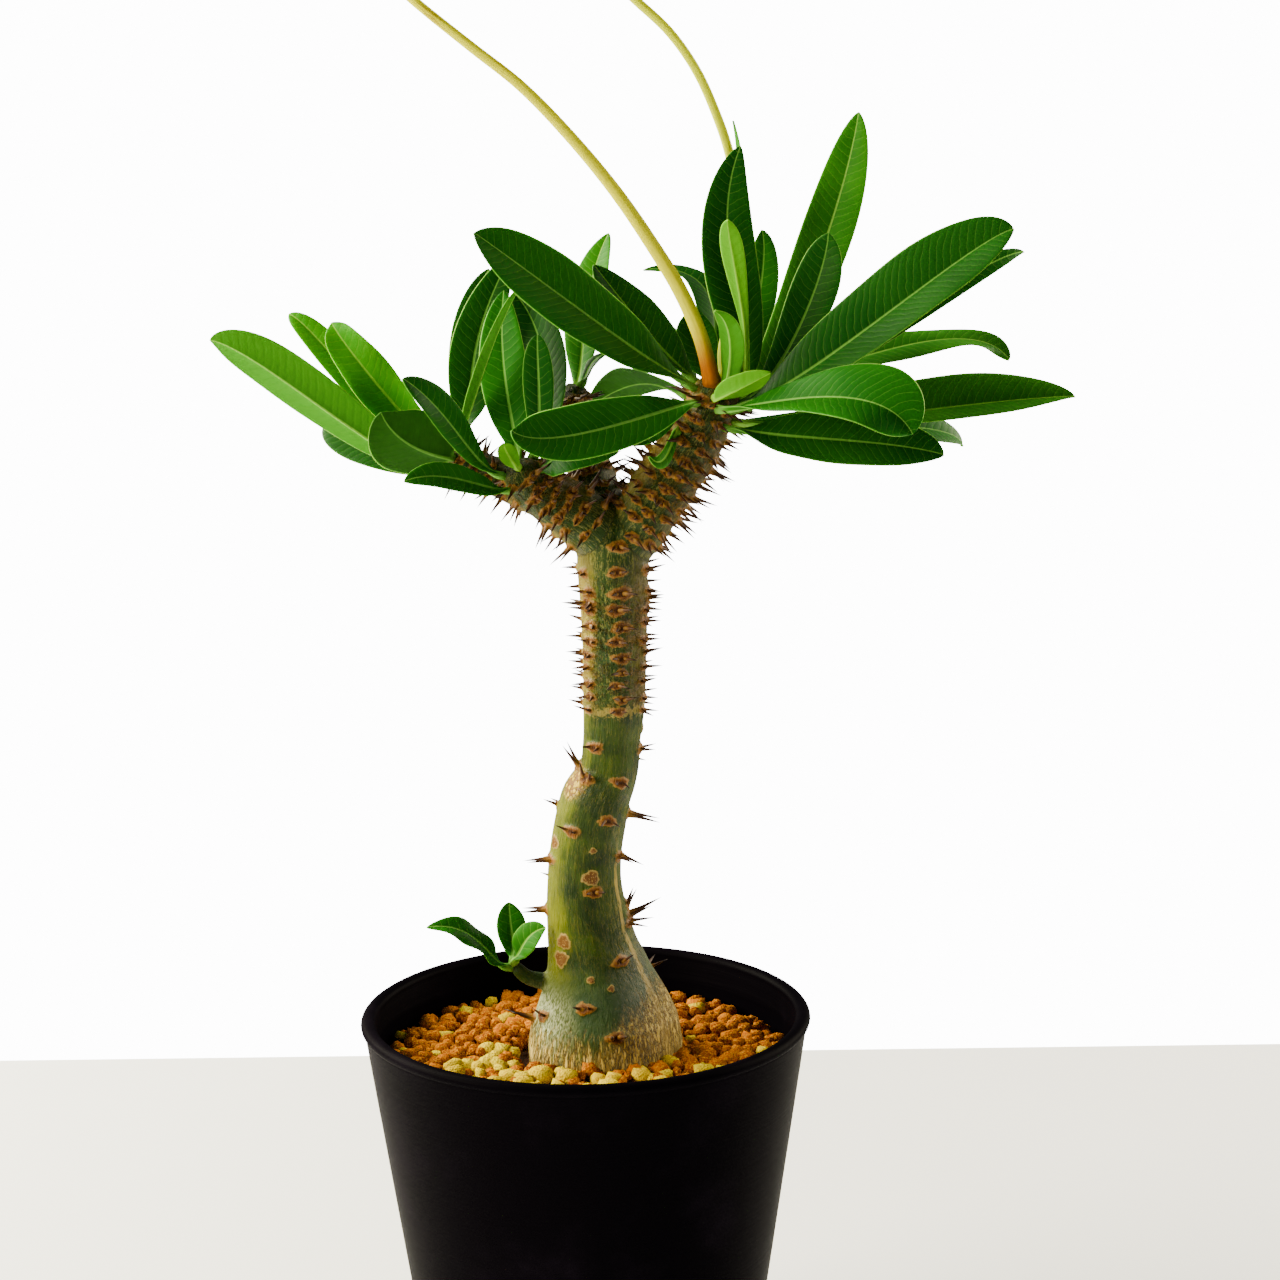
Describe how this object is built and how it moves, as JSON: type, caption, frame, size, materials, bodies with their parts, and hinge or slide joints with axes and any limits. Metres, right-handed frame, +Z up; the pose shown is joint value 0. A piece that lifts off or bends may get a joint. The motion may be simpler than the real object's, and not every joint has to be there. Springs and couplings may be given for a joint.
{
  "type": "potted pachypodium makayense",
  "caption": "Spiny caudex succulent with a swollen foot, forked limbs, lance-shaped leaves and flower stalks in a round plastic pot of orange grit.",
  "frame": {"origin": "the pot's axis, at the surface that the pot stands on", "axes": "+Z up, the front of the plant faces -Y, +X is to the right seen from the front"},
  "size_m": [0.2222, 0.12, 0.4318],
  "materials": {
    "pot": "matte black moulded plastic with a faint sheen",
    "grit": "dull rust-orange and pale yellow mineral grains",
    "bark": "olive-green smooth bark, silver-tan and fissured at the swollen foot, brown spines",
    "leaf": "waxy dark green blade with a pale midrib",
    "stalk": "smooth yellow-green, drying to brown",
    "bud": "waxy pale green"
  },
  "bodies": {
    "root": {"pot": "pot", "substrate": "grit", "trunk": "bark", "leaf_right_01": "leaf", "leaf_right_02": "leaf", "leaf_right_03": "leaf", "leaf_right_04": "leaf", "leaf_right_05": "leaf", "leaf_right_06": "leaf", "leaf_right_07": "leaf", "leaf_right_08": "leaf", "leaf_right_09": "leaf", "leaf_right_10": "leaf", "leaf_right_11": "leaf", "leaf_right_12": "leaf", "leaf_right_13": "leaf", "leaf_right_14": "leaf", "leaf_right_15": "leaf", "leaf_right_16": "leaf", "leaf_right_17": "leaf", "leaf_right_18": "leaf", "leaf_right_19": "leaf", "leaf_right_20": "leaf", "leaf_right_21": "leaf", "leaf_right_22": "leaf", "leaf_right_23": "leaf", "leaf_right_24": "leaf", "leaf_left_01": "leaf", "leaf_left_02": "leaf", "leaf_left_03": "leaf", "leaf_left_04": "leaf", "leaf_left_05": "leaf", "leaf_left_06": "leaf", "leaf_left_07": "leaf", "leaf_left_08": "leaf", "leaf_left_09": "leaf", "leaf_left_10": "leaf", "leaf_left_11": "leaf", "leaf_left_12": "leaf", "leaf_left_13": "leaf", "leaf_left_14": "leaf", "leaf_left_15": "leaf", "leaf_left_16": "leaf", "leaf_left_17": "leaf", "leaf_left_18": "leaf", "shoot_leaf_1": "leaf", "shoot_leaf_2": "leaf", "shoot_leaf_3": "leaf", "flower_stalk_front": "stalk", "flower_stalk_back": "stalk", "flower_buds_front": "bud", "flower_buds_back": "bud"}
  },
  "joints": []
}
